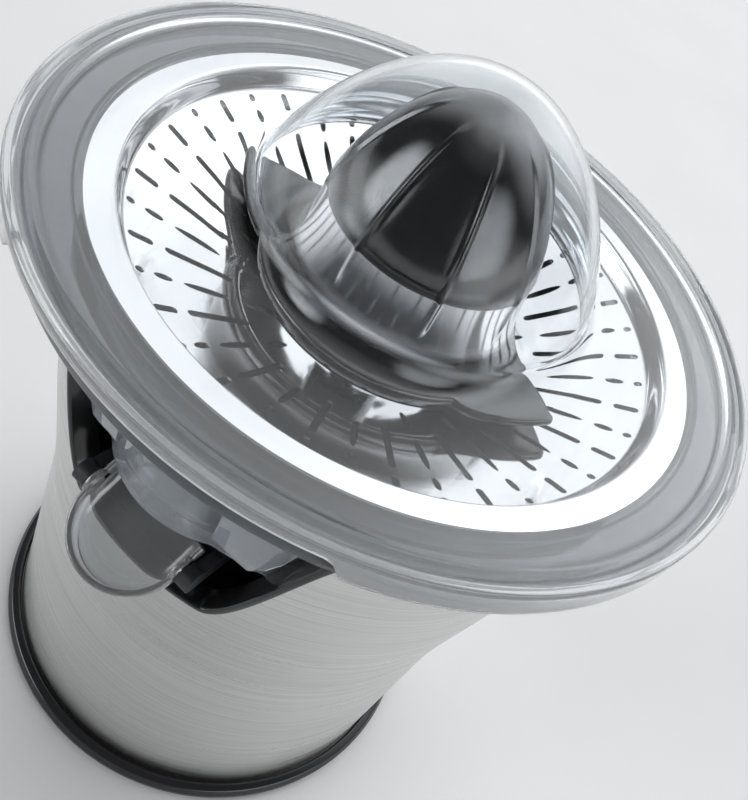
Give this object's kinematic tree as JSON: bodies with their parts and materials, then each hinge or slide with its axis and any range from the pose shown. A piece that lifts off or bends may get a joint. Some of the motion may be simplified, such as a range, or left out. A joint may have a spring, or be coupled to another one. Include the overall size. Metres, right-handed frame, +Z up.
{
  "type": "electric citrus press",
  "caption": "Electric citrus press: steel-clad motor base, clear juice collector with a tilting spout, perforated sieve, ribbed reamer cone and clear domed dust cover.",
  "frame": {"origin": "on the table at the drive axis", "axes": "+Z up along the drive axis; the spout faces -Y; +X is to the right as seen from the front"},
  "size_m": [0.208, 0.208, 0.2593],
  "materials": {
    "gloss_black": "polished moulded black plastic",
    "black_plastic": "fine-textured moulded black plastic",
    "rubber": "soft matte rubber",
    "brushed_steel": "brushed round the body, satin",
    "polished_steel": "mirror polished",
    "machine_steel": "turned or zinc-plated steel",
    "cone_plastic": "polished dark grey plastic",
    "clear_plastic": "clear, very slightly smoky plastic",
    "smoky_plastic": "transparent smoky grey plastic",
    "gear_nylon": "natural nylon",
    "bronze": "sintered bronze",
    "copper": "enamelled copper wire",
    "laminations": "stacked steel laminations",
    "switch_plastic": "moulded switch housing",
    "plunger_plastic": "moulded red plastic"
  },
  "bodies": {
    "base": {"base_ring": "gloss_black", "bottom_cover": "black_plastic", "rubber_feet": "rubber", "base_screws": "machine_steel", "cord_gland": "black_plastic", "terminal_block": "gear_nylon", "steel_sleeve": "brushed_steel", "cutout_trim": "gloss_black", "inner_housing": "black_plastic", "shaft_seal": "rubber", "shaft_bush": "bronze", "gearbox_plate": "machine_steel", "plate_bushes": "bronze", "gearbox_screws": "machine_steel", "gear_axle": "machine_steel", "switch_bracket": "machine_steel", "start_switch": "switch_plastic", "upper_bracket": "machine_steel", "lower_bracket": "machine_steel", "stator_core": "laminations", "stator_coils": "copper", "motor_screws": "machine_steel", "motor_bushes": "bronze", "juice_collector": "smoky_plastic", "sieve": "polished_steel"},
    "cover": {"dust_cover": "clear_plastic"},
    "drive_gear": {"output_gear": "gear_nylon", "return_spring": "machine_steel"},
    "cone": {"drive_shaft": "machine_steel", "shaft_clip": "machine_steel", "reamer_cone": "cone_plastic"},
    "middle_gear": {"intermediate_gear": "gear_nylon"},
    "motor_rotor": {"rotor": "laminations", "rotor_shaft": "machine_steel", "motor_pinion": "bronze", "cooling_fan": "switch_plastic"},
    "plunger": {"switch_plunger": "plunger_plastic"},
    "spout": {"spout": "clear_plastic"}
  },
  "joints": [
    {"name": "cover_lift", "type": "slide", "parent": "base", "child": "cover", "axis": [0, 0, 1], "range_m": [0, 0.12]},
    {"name": "drive_spin", "type": "hinge", "parent": "base", "child": "drive_gear", "pos_m": [0, 0, 0.132], "axis": [0, 0, 1], "continuous": true},
    {"name": "cone_press", "type": "slide", "parent": "drive_gear", "child": "cone", "axis": [0, 0, -1], "range_m": [0, 0.003], "stiffness_N_per_m": 900, "springref_m": -0.004, "deforming": ["return_spring"]},
    {"name": "middle_spin", "type": "hinge", "parent": "base", "child": "middle_gear", "pos_m": [0, 0.03, 0.125], "axis": [0, 0, 1], "continuous": true},
    {"name": "rotor_spin", "type": "hinge", "parent": "base", "child": "motor_rotor", "pos_m": [0.024, 0.012, 0.1], "axis": [0, 0, 1], "continuous": true},
    {"name": "plunger_press", "type": "slide", "parent": "base", "child": "plunger", "axis": [0, 0, -1], "range_m": [0, 0.003]},
    {"name": "spout_tilt", "type": "hinge", "parent": "base", "child": "spout", "pos_m": [0, -0.0825, 0.146], "axis": [-1, 0, 0], "range_deg": [0, 105]}
  ],
  "couplings": [
    {"joint": "middle_spin", "follows": "drive_spin", "ratio": -3},
    {"joint": "rotor_spin", "follows": "drive_spin", "ratio": 9},
    {"joint": "plunger_press", "follows": "cone_press", "ratio": 1}
  ]
}
